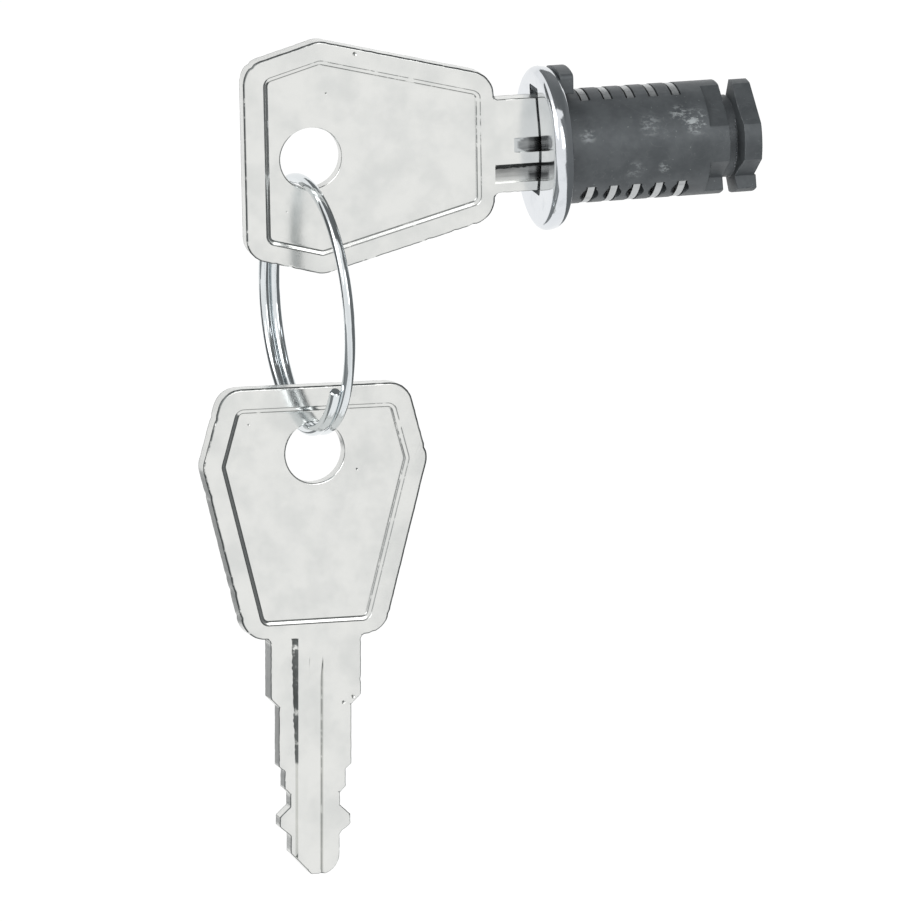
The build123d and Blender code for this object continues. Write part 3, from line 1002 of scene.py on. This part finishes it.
        # the edge groove, then the middle one, then the one on the back
        top, low, wall = -self.edge_groove_top, -self.edge_groove_low, self.groove_wall
        levels = [low - 0.02, low, low + wall, low + 0.6, low + 1.1, top, top + 0.05, top + 0.12]
        inner = (-0.07, 0.0, wall, 0.13, 0.3, 0.45)
        levels += [sign * (self.mid_groove_half - part) for sign in (1, -1) for part in inner]
        levels.append(0.0)
        for sign in (1, -1):
            levels += [self.back_groove_middle + sign * (self.back_groove_half - part) for part in inner[:4]]
        curves = [np.stack([stations, np.full(len(stations), y)], axis=1) for y in levels]
        for past in (0.0, 0.06):
            curves.append(np.stack([stations, top - self.wall_width(stations) - past], axis=1))
        across = np.arange(-4.6, 4.61, 0.2)
        curves += [np.stack([np.full(len(across), x), across], axis=1) for x in (self.bow_length, foot)]
        return curves

    def plan_lines(self, outline: np.ndarray, hole: np.ndarray) -> list[tuple[np.ndarray, bool]]:
        """Lines that the faces bend along.

        Args:
            outline: the outer loop.
            hole: the hole's loop.

        Returns:
            Pairs of points and whether the line closes.
        """
        edge_in = inward_normals(outline) * self.edge_round(outline[:, 0])[:, None]
        hole_in = inward_normals(hole) * self.hole_edge_round
        lines = [(outline + edge_in * share, True) for share in self.edge_guards]
        lines += [(hole - hole_in * share, True) for share in self.hole_guards]
        lines += [(self.panel(inset), True) for inset in self.crease_profile()[0]]
        for curve in self.groove_curves():
            kept = inside_loop(curve, outline) & (loop_distance(curve, outline) > 0.02)
            for part in np.split(np.arange(len(curve)), np.where(~kept)[0]):
                part = part[kept[part]]
                if len(part) > 1:
                    lines.append((curve[part], False))
        for pit in self.pits:
            lines += [(circle_loop(pit.x, pit.y, pit.radius * share, 12), True) for share in self.pit_guards]
        return lines

    def add_wall(self, skin: Skin, run: list[int]) -> list[list[tuple[float, float]]]:
        """Joins the two faces along one closed run of their edges.

        Args:
            skin: the key's skin, whose first two rows are the faces.
            run: indexes of the run in a face.

        Returns:
            Flat coordinates of the new faces' corners.
        """
        front, back = skin.rows[0][run], skin.rows[1][run]
        closed = front[[*range(len(run)), 0]]
        length = np.concatenate([[0], np.cumsum(np.linalg.norm(np.diff(closed, axis=0), axis=1))])
        levels = [np.array(run)]
        levels += [skin.add(front + (back - front) * share) for share in self.wall_shares[1:-1]]
        levels.append(np.array(run) + len(skin.rows[0]))
        uvs = []
        for (high, here), (low, there) in pairwise(zip(self.wall_shares, levels)):
            top, foot = (share * 2 * self.half_thick for share in (high, low))
            for i in range(len(run)):
                j = (i + 1) % len(run)
                skin.faces.append((here[i], there[i], there[j], here[j]))
                uvs.append([(length[i], top), (length[i], foot), (length[i + 1], foot), (length[i + 1], top)])
        return uvs

    def build(self, effects: EffectLibrary) -> None:
        """Makes the key's mesh, dresses it and puts it on its body.

        Args:
            effects: the shared node groups.
        """
        outline = self.outline()
        hole = circle_loop(self.hole_x, 0.0, self.hole_radius, 72)
        flat, triangles = Plate(outline, hole, self.plan_lines(outline, hole)).triangulate()
        skin, painted_crease_shade, count = Skin(), [], len(flat)
        for side in KeySide:
            skin.add(np.column_stack([flat, self.height(flat, outline, hole, side) * side.value]))
            painted_crease_shade.append(self.painted_crease_shade(flat, outline, side))
        skin.faces = [tuple(t) for t in triangles] + [tuple(reversed(t + count)) for t in triangles]
        uvs = [[tuple(flat[i % count]) for i in face] for face in skin.faces]
        face_corners = 3 * len(skin.faces)
        for run in boundary_runs(triangles):
            uvs += self.add_wall(skin, run)
        axes = np.array([tuple(v) for v in (self.along, self.across, self.along.cross(self.across))])
        points = skin.points() @ axes + np.array(self.origin) / MM
        piece = mesh_piece(f"{self.node}_dressed", points, skin.faces)
        # painted shade for the material: lines along the creases and edges, then the grooves near the cap
        store_values(piece, "painted_crease_shade", np.pad(np.concatenate(painted_crease_shade), (0, skin.total - 2 * count)))
        store_values(piece, "painted_groove_shade", np.pad(self.painted_groove_shade(flat[:, 0], flat[:, 1]), (0, skin.total - count)))
        on_wall = np.arange(sum(len(face) for face in skin.faces)) >= face_corners
        store_values(piece, "wall", on_wall, "CORNER")
        store_uvs(piece, uvs)
        finish_piece(piece, self.finish.build(effects))
        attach(piece, self.body)
        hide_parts(self.node)


@dataclass
class KeyRing:
    """Round wire wound one and a half times, its strands side by side."""

    node: str = "key_ring"
    body: str = "key_ring"
    wire: float = 1.1
    radius: float = 12.6
    strand_pitch: float = 1.12
    start_angle: float = 120.0
    turn_angle: float = 540.0
    top_angle: float = 360.0
    yaw_deg: float = 5.4
    around: int = 28
    step_deg: float = 2.5
    end_round: float = 0.12

    def centre(self) -> np.ndarray:
        """Middle of the ring in millimetres."""
        low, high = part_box(self.node)
        return np.array([(low.x + high.x) / 2, 0.0, high.z - (self.radius + self.wire / 2) * MM]) / MM

    def side(self) -> np.ndarray:
        """Level direction in the ring's plane, towards the viewer."""
        yaw = math.radians(self.yaw_deg)
        return np.array([math.sin(yaw), -math.cos(yaw), 0.0])

    def hang_point(self, lean_deg: float, drop: float) -> Vector:
        """Middle of a hole that hangs on the ring a little way round it, in metres.

        Args:
            lean_deg: angle round the ring from its lowest point.
            drop: distance of the hole's middle outside the wire.

        Returns:
            The point.
        """
        lean = math.radians(lean_deg)
        out = self.side() * math.sin(lean) - np.array([0.0, 0.0, 1.0]) * math.cos(lean)
        return Vector(tuple((self.centre() + out * (self.radius + drop)) * MM))

    def build(self, effects: EffectLibrary) -> None:
        """Sweeps the wire along its coil and dresses it.

        Args:
            effects: the shared node groups.
        """
        centre, side, up = self.centre(), self.side(), np.array([0.0, 0.0, 1.0])
        axis = np.cross(up, side)
        count = round(self.turn_angle / self.step_deg)
        arc = self.radius * math.radians(self.turn_angle)
        inset, end_size = self.end_round / arc, 1 - 2 * self.end_round / self.wire
        inner = [(i / count, 1.0) for i in range(1, count)]
        stations = [(0.0, end_size), (inset, 1.0), *inner, (1 - inset, 1.0), (1.0, end_size)]
        rolls = [2 * math.pi * k / self.around for k in range(self.around)]
        skin, rings = Skin(), []
        for share, size in stations:
            angle = self.start_angle + self.turn_angle * share
            turn = math.radians(angle)
            outward = side * math.sin(turn) + up * math.cos(turn)
            shift = axis * self.strand_pitch * (angle - self.top_angle) / 360
            middle = centre + outward * self.radius + shift
            spokes = np.array([outward * math.cos(roll) + axis * math.sin(roll) for roll in rolls])
            rings.append(skin.add(middle + spokes * self.wire / 2 * size))
        uvs = []
        wrap = math.pi * self.wire / self.around
        for (here, (start, _)), (there, (end, _)) in pairwise(zip(rings, stations)):
            for k in range(self.around):
                j = (k + 1) % self.around
                skin.faces.append((here[k], there[k], there[j], here[j]))
                corners = ((start, k), (end, k), (end, k + 1), (start, k + 1))
                uvs.append([(arc * share, wrap * step) for share, step in corners])
        for end in (rings[0], rings[-1][::-1]):
            skin.faces.append(tuple(end))
            uvs.append([(0.0, 0.0)] * self.around)
        piece = mesh_piece("key_ring_wire", skin.points(), skin.faces)
        store_uvs(piece, uvs)
        wire = BrightFinish(
            "drawn_ring_wire", metal=colour(0.74, 0.775, 0.79), dulled=colour(0.55, 0.58, 0.6),
            roughness=0.07, grain_scale=5.0, grain_depth=0.004, stretch=(0.12, 2.5, 1.0), coordinates="UV",
        )
        finish_piece(piece, wire.build(effects))
        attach(piece, self.body)
        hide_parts(self.node)


@dataclass
class CapShell:
    """Bright cap: dished face with the key slot, full round rim, and a lip rolled in behind."""

    node: str = "front_cap"
    body: str = "plug"
    radius: float = 8.25
    thick: float = 2.0
    wall: float = 0.5
    front_round: float = 0.8
    front_steps: int = 12
    back_round: float = 1.6
    back_start_deg: float = 9.0
    back_sweep_deg: float = 38.0
    back_steps: int = 6
    taper: float = 0.4
    lip_inner: float = 7.0
    lip_thick: float = 0.45
    lip_fall: float = 0.07
    lip_corner: float = 0.06
    inner_gap: float = 0.05
    dish: float = 0.4
    dish_radius: float = 6.6
    dish_rings: tuple[float, ...] = (6.6, 5.9, 5.2, 4.4, 3.6, 2.8, 2.0)
    slot_half: float = 1.55
    slot_low: float = -4.58
    slot_high: float = 6.37
    slot_round: float = 0.3
    slot_step: float = 0.4
    gap: float = 0.01
    around: int = 180

    def face_level(self, points: np.ndarray) -> np.ndarray:
        """Place of the dished face along the lock.

        Args:
            points: rows of places across the face.

        Returns:
            One value per point.
        """
        away = np.hypot(points[:, 0], points[:, 1]) / self.dish_radius
        return -self.thick + self.dish * rise(1 - away**2) ** 2

    def rim_profile(self) -> Profile:
        """Rim's section from the face round to the inside, as (place along the lock, radius)."""
        top = self.front_round - self.thick
        profile = []
        for i in range(1, self.front_steps + 1):
            turn = math.radians(90 - 90 * i / self.front_steps)
            out = self.radius - self.front_round * (1 - math.cos(turn))
            profile.append((top - self.front_round * math.sin(turn), out))
        start, end = math.radians(self.back_start_deg), math.radians(self.back_sweep_deg)
        along, out = top + self.taper, self.radius - self.taper * math.tan(start) * 0.7
        for i in range(self.back_steps + 1):
            turn = start + (end - start) * i / self.back_steps
            profile.append((along + self.back_round * (math.sin(turn) - math.sin(start)),
                            out - self.back_round * (math.cos(start) - math.cos(turn))))
        # the edge crimped in behind, the lip, and the inside of the wall
        edge_x, edge_r = profile[-1]
        inner = self.radius - self.wall - self.inner_gap
        profile += [(edge_x * 0.3, edge_r - self.lip_fall), (0.0, edge_r - 2 * self.lip_fall)]
        profile += [(0.0, self.lip_inner + self.lip_corner), (-self.lip_corner, self.lip_inner)]
        profile += [(-self.lip_thick, self.lip_inner), (-self.lip_thick, inner), (self.inside_level(), inner)]
        return profile

    def inside_level(self) -> float:
        """Place of the face's inside along the lock, just clear of the casting."""
        return self.wall - self.thick - self.gap

    def add_wall(self, skin: Skin, run: list[int], flat: np.ndarray) -> None:
        """Joins the face to its inside along one closed run: plainly at the slot, by the rim outside.

        Args:
            skin: the cap's skin, whose first two rows are the face and its inside.
            run: indexes of the run in a face.
            flat: places across the face.
        """
        levels = [np.array(run)]
        spokes = flat[run]
        if np.hypot(*spokes[0]) > self.dish_radius:
            spokes = spokes / np.linalg.norm(spokes, axis=1)[:, None]
            for along, out in self.rim_profile():
                levels.append(skin.add(np.column_stack([np.full(len(run), along), spokes * out])))
        levels.append(np.array(run) + len(flat))
        for here, there in pairwise(levels):
            for i in range(len(run)):
                j = (i + 1) % len(run)
                skin.faces.append((here[i], here[j], there[j], there[i]))

    def build(self, effects: EffectLibrary) -> None:
        """Makes the shell, dresses it and puts it on the plug.

        Args:
            effects: the shared node groups.
        """
        circle = circle_loop(0.0, 0.0, 1.0, self.around)
        half, low, high = self.slot_half, self.slot_low, self.slot_high
        corners = ((-half, low), (half, low), (half, high), (-half, high))
        slot = rounded_loop([(x, y, self.slot_round) for x, y in corners], self.slot_step)
        rings = [(circle[::3] * size, True) for size in self.dish_rings]
        flat, triangles = Plate(circle * (self.radius - self.front_round), slot, rings).triangulate()
        count, skin = len(flat), Skin()
        skin.add(np.column_stack([self.face_level(flat), flat]))
        skin.add(np.column_stack([np.full(count, self.inside_level()), flat]))
        skin.faces = [tuple(reversed(t)) for t in triangles] + [tuple(t + count) for t in triangles]
        for run in boundary_runs(triangles):
            self.add_wall(skin, run, flat)
        piece = mesh_piece("front_cap_shell", skin.points(), skin.faces, weighted=True)
        chrome = BrightFinish(
            "cap_mirror_chrome", metal=colour(0.72, 0.745, 0.775), dulled=colour(0.6, 0.63, 0.66),
            roughness=0.1, grain_scale=0.8, grain_depth=0.003,
        )
        finish_piece(piece, chrome.build(effects))
        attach(piece, self.body)
        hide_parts(self.node)


@dataclass
class GrooveFlash:
    """Thin broken ridge of bright zinc left on the floor of the tail's groove."""

    body: str = "plug"
    along: float = 17.93
    radius: float = 4.13
    start_deg: float = -39.0
    end_deg: float = 34.0
    run_deg: tuple[float, float] = (2.0, 7.0)
    step_deg: float = 1.1
    breaks_deg: tuple[float, ...] = (0.3, 0.6, 2.4)
    width: float = 0.17
    height: float = 0.09
    stray: float = 0.05
    swell: tuple[float, float] = (0.6, 1.0)
    least_swell: float = 0.12
    shake: float = 0.015
    seed: int = 5

    def build(self, finish: Material) -> None:
        """Makes the ridge and puts it on the plug.

        Args:
            finish: its material.
        """
        dice = random.Random(self.seed)
        skin = Skin()
        angle = self.start_deg
        while angle < self.end_deg:
            length = dice.uniform(*self.run_deg)
            steps = max(2, round(length / self.step_deg))
            shift = dice.uniform(-self.stray, self.stray)
            row = []
            for i in range(steps + 1):
                turn = math.radians(angle + length * i / steps)
                swell = math.sin(math.pi * i / steps) * dice.uniform(*self.swell) + self.least_swell
                for offset, lift in ((-0.5, 0.0), (0.0, 1.0), (0.5, 0.0)):
                    out = self.radius + self.height * lift * swell
                    x = self.along + shift + offset * self.width * swell
                    x += dice.uniform(-self.shake, self.shake)
                    row.append((x, -math.cos(turn) * out, math.sin(turn) * out))
            sections = skin.add(np.array(row)).reshape(-1, 3)
            for here, there in pairwise(sections):
                for k, j in ((0, 1), (1, 2), (2, 0)):
                    skin.faces.append((here[k], here[j], there[j], there[k]))
            skin.faces += [tuple(sections[0][[0, 2, 1]]), tuple(sections[-1])]
            angle += length + dice.choice(self.breaks_deg)
        piece = mesh_piece("tail_groove_flash", skin.points(), skin.faces)
        finish_piece(piece, finish)
        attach(piece, self.body)


@dataclass
class Plug:
    """The casting, the wafers and their springs."""

    wafer_count: int = 5

    def build(self, effects: EffectLibrary) -> None:
        """Dresses the plug's pieces, whose shapes come from the frame.

        Args:
            effects: the shared node groups.
        """
        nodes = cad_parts
        finish_piece(nodes["plug_body"], CastFinish("dark_zinc_casting").build(effects))
        torn = BrightFinish(
            "torn_zinc", metal=colour(0.62, 0.65, 0.67), dulled=colour(0.4, 0.43, 0.45), roughness=0.4,
            grain_scale=9.0, grain_depth=0.02,
        )
        GrooveFlash().build(torn.build(effects))
        ground = BrightFinish(
            "wafer_ground_edges", metal=colour(0.52, 0.535, 0.54), dulled=colour(0.27, 0.28, 0.285),
            roughness=0.34, grain_scale=9.0, grain_depth=0.02, stretch=(0.5, 3.0, 3.0),
        )
        coiled = BrightFinish("spring_wire", metal=colour(0.6, 0.62, 0.63), roughness=0.2, grain_scale=12.0)
        wafer_metal, spring_metal = ground.build(effects), coiled.build(effects)
        for number in range(1, self.wafer_count + 1):
            finish_piece(nodes[f"wafer_{number}"], wafer_metal)
            finish_piece(nodes[f"wafer_spring_{number}"], spring_metal)


@dataclass(frozen=True)
class UprightCard:
    """A card bent round the object; azimuths are counted right from behind the camera."""

    name: str
    start_deg: float
    end_deg: float
    low: float
    high: float
    tone: float


@dataclass(frozen=True)
class LevelCard:
    """A flat level card."""

    name: str
    outline: tuple[tuple[float, float], ...]
    level: float
    tone: float


@dataclass(frozen=True)
class SoftLamp:
    """A square area lamp, aimed at the object; its azimuth is counted right from behind the camera."""

    name: str
    azimuth_deg: float
    elevation_deg: float
    distance: float
    size: float
    power: float


def direction(azimuth_deg: float, elevation_deg: float) -> Vector:
    """Unit vector from the object at an azimuth, counted right from -Y, and an elevation."""
    azimuth, elevation = math.radians(azimuth_deg), math.radians(elevation_deg)
    level = math.cos(elevation)
    return Vector((math.sin(azimuth) * level, -math.cos(azimuth) * level, math.sin(elevation)))


@dataclass
class Studio:
    """White sweep, soft lamps, dark cards that draw the edges of bright metal, and the camera."""

    floor_drop: float = 22.0
    floor_half: float = 2500.0
    floor_tone: float = 0.9
    floor_glow: float = 1.08
    floor_glow_share: float = 0.9
    world_dim: float = 0.45
    camera_azimuth: float = -14.4
    camera_elevation: float = 15.0
    camera_roll: float = -0.8
    anchor_right: float = -21.55
    anchor_up: float = 29.57
    camera_distance: float = 592.6
    focal_pixels: float = 6000.0
    picture_pixels: float = 922.0
    card_radius: float = 420.0
    card_steps: int = 24
    card_colour: Colour = colour(0.93, 0.98, 1.0)
    lamp_target: Triple = (-10.0, 0.0, -20.0)
    upright_cards: tuple[UprightCard, ...] = (
        UprightCard("card_right", 41.0, 138.0, -92.0, 460.0, 0.16),
        UprightCard("card_left_behind", -122.0, -80.0, -92.0, 300.0, 0.1),
    )
    level_cards: tuple[LevelCard, ...] = (
        LevelCard("card_overhead", ((-140.0, -150.0), (200.0, -150.0), (330.0, -300.0), (480.0, -300.0),
                                    (480.0, 600.0), (-140.0, 600.0)), 330.0, 0.14),
        LevelCard("card_low_right", ((60.0, -60.0), (175.0, -430.0), (480.0, -430.0), (480.0, 140.0),
                                     (60.0, 140.0)), -92.0, 0.14),
        LevelCard("card_low_left", ((-400.0, -70.0), (-60.0, -70.0), (-60.0, 170.0), (-400.0, 170.0)),
                  -92.0, 0.2),
    )
    soft_lamps: tuple[SoftLamp, ...] = (
        SoftLamp("lamp_front_left", -50.0, 38.0, 900.0, 600.0, 2.6),
        SoftLamp("lamp_front_right", 35.0, 25.0, 1000.0, 500.0, 1.4),
        SoftLamp("lamp_behind", 170.0, 45.0, 900.0, 500.0, 1.2),
    )

    def build(self) -> None:
        """Makes the whole stage."""
        self.world()
        self.floor()
        self.cards()
        self.lamps()
        self.camera()
        bpy.context.scene.view_settings.view_transform = "Standard"

    @staticmethod
    def seen_directly(graph: Graph) -> Any:
        """Share that is 1 for camera, glossy and transmission rays."""
        path = graph.add("ShaderNodeLightPath").outputs
        return graph.largest(path["Is Camera Ray"], path["Is Glossy Ray"], path["Is Transmission Ray"])

    def world(self) -> None:
        """White surroundings, dimmer where they only light matt surfaces."""
        world = bpy.data.worlds.new("white_surroundings")
        bpy.context.scene.world = world
        world.use_nodes = True
        graph = Graph(world.node_tree)
        strength = graph.ramp(self.seen_directly(graph), 0.0, 1.0, self.world_dim, 1.0)
        back = graph.add("ShaderNodeBackground", {"Color": colour(1.0, 1.0, 1.0), "Strength": strength})
        graph.add("ShaderNodeOutputWorld", {"Surface": back.outputs["Background"]})

    def floor(self) -> None:
        """White floor below the hanging key, which keeps the object's shadow."""
        level = CAD_BOX[0].z / MM - self.floor_drop
        size = self.floor_half
        corners = [(x * size, y * size, level) for x, y in ((-1, -1), (1, -1), (1, 1), (-1, 1))]
        floor = mesh_piece("floor", np.array(corners), [(0, 1, 2, 3)])
        material = bpy.data.materials.new("white_floor")
        material.use_nodes = True
        graph = Graph(material.node_tree)
        matt = graph.add("ShaderNodeBsdfDiffuse", {"Color": colour(*[self.floor_tone] * 3)})
        glow = graph.add("ShaderNodeEmission", {"Color": colour(1.0, 1.0, 1.0), "Strength": self.floor_glow})
        share = graph.maths("MULTIPLY", self.seen_directly(graph), self.floor_glow_share)
        mixed = graph.add("ShaderNodeMixShader", {0: share, 1: matt.outputs[0], 2: glow.outputs[0]})
        graph.add("ShaderNodeOutputMaterial", {"Surface": mixed.outputs[0]})
        floor.data.materials.append(material)

    def dress_card(self, card: Object, tone: float) -> None:
        """Makes a card an even grey, seen only in reflections.

        Args:
            card: mesh object.
            tone: how bright it looks.
        """
        material, _, shader = start_material(f"{card.name}_grey")
        shader.inputs["Base Color"].default_value = colour(0.0, 0.0, 0.0)
        shader.inputs["Emission Color"].default_value = self.card_colour
        shader.inputs["Emission Strength"].default_value = tone
        card.data.materials.append(material)
        card.visible_camera = False
        card.visible_diffuse = False
        card.visible_shadow = False
        card.visible_transmission = False

    def cards(self) -> None:
        """Cards to the right, at the left behind, overhead, and below at the right and at the left."""
        for card in self.upright_cards:
            points, step = [], (card.end_deg - card.start_deg) / self.card_steps
            for i in range(self.card_steps + 1):
                out = direction(self.camera_azimuth + card.start_deg + step * i, 0.0) * self.card_radius
                points += [(out.x, out.y, card.low), (out.x, out.y, card.high)]
            faces = [(i, i + 1, i + 3, i + 2) for i in range(0, 2 * self.card_steps, 2)]
            self.dress_card(mesh_piece(card.name, np.array(points), faces), card.tone)
        for card in self.level_cards:
            corners = np.array([(x, y, card.level) for x, y in card.outline])
            self.dress_card(mesh_piece(card.name, corners, [tuple(range(len(corners)))]), card.tone)

    def lamps(self) -> None:
        """Soft lamps: one large at the front left, a fill at the front right, one from behind."""
        for plan in self.soft_lamps:
            out = direction(self.camera_azimuth + plan.azimuth_deg, plan.elevation_deg)
            data = bpy.data.lights.new(plan.name, "AREA")
            data.size = plan.size * MM
            data.energy = plan.power
            lamp = bpy.data.objects.new(plan.name, data)
            lamp.location = (Vector(self.lamp_target) + out * plan.distance) * MM
            lamp.rotation_euler = out.to_track_quat("Z", "Y").to_euler()
            lamp.visible_camera = False
            bpy.context.scene.collection.objects.link(lamp)

    def camera(self) -> None:
        """Camera where the photograph was taken from, a long lens at arm's length."""
        roll = math.radians(self.camera_roll)
        back = direction(self.camera_azimuth, self.camera_elevation)
        level_right = direction(self.camera_azimuth + 90, 0.0)
        level_up = back.cross(level_right)
        right = level_right * math.cos(roll) + level_up * math.sin(roll)
        up = level_up * math.cos(roll) - level_right * math.sin(roll)
        low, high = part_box("lock_key")
        anchor = Vector((low.x, 0.0, (low.z + high.z) / 2))
        place = anchor - (right * self.anchor_right + up * self.anchor_up - back * self.camera_distance) * MM
        data = bpy.data.cameras.new("camera")
        data.lens = self.focal_pixels * data.sensor_width / self.picture_pixels
        data.clip_start, data.clip_end = 0.01, 20.0
        camera = bpy.data.objects.new("camera", data)
        turned = Matrix((right, up, back)).transposed().to_4x4()
        camera.matrix_world = Matrix.Translation(place) @ turned
        bpy.context.scene.collection.objects.link(camera)
        bpy.context.scene.camera = camera


@dataclass(frozen=True)
class SparePose:
    """How the spare key hangs on the ring."""

    yaw_deg: float = 4.5
    lean_deg: float = 5.0
    tilt_deg: float = 2.8
    drop: float = 2.301

    def directions(self) -> tuple[Vector, Vector]:
        """Directions along and across the key.

        Returns:
            The unit vectors, from the bow's end to the tip and across the bow.
        """
        yaw, lean, tilt = (math.radians(v) for v in (self.yaw_deg, self.lean_deg, self.tilt_deg))
        down = Vector((0, 0, -1))
        forward = Vector((math.sin(yaw), -math.cos(yaw), 0))
        level = forward.cross(down)
        along = (down * math.cos(lean) + forward * math.sin(lean)) * math.cos(tilt) - level * math.sin(tilt)
        face = forward * math.cos(lean) - down * math.sin(lean)
        return along, face.cross(along)


def make_keys(ring: KeyRing) -> list[Key]:
    """The key in the lock and the spare on the ring, placed by the frame.

    Args:
        ring: the ring that carries the spare key.

    Returns:
        The two keys.
    """
    low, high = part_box("lock_key")
    half = (high.y - low.y) / 2 / MM
    seated = Key(
        node="lock_key", body="lock_key", origin=Vector((low.x, 0.0, (low.z + high.z) / 2)),
        along=Vector((1, 0, 0)), across=Vector((0, 0, 1)), finish=NickelFinish("key_nickel_seated"),
        half_thick=half, seed=11, groove_shade=0.95,
        pits=[Pit(11.3, 10.3, 0.22, 0.16), Pit(8.4, 6.5, 0.12, 0.04), Pit(4.2, -5.2, 0.1, 0.03)],
    )
    pose = SparePose()
    along, across = pose.directions()
    origin = ring.hang_point(pose.lean_deg, pose.drop) - along * Key.hole_x * MM
    hung = Key(
        node="spare_key", body="spare_key", origin=origin, along=along, across=across,
        finish=NickelFinish("key_nickel_spare", seed_shift=63.0), half_thick=half, seed=23,
        pits=[
            Pit(8.6, 4.4, 0.14, 0.05), Pit(3.6, -7.0, 0.12, 0.06),
            Pit(32.3, 2.9, 0.2, 0.1), Pit(31.8, 3.9, 0.22, 0.12),
        ],
    )
    return [seated, hung]


def main() -> None:
    """Builds every piece of the object and its stage."""
    logging.basicConfig(level=logging.INFO, format="%(name)s: %(message)s")
    effects = EffectLibrary()
    Plug().build(effects)
    CapShell().build(effects)
    ring = KeyRing()
    ring.build(effects)
    for key in make_keys(ring):
        key.build(effects)
    Studio().build()


if __name__ == "__main__":
    main()
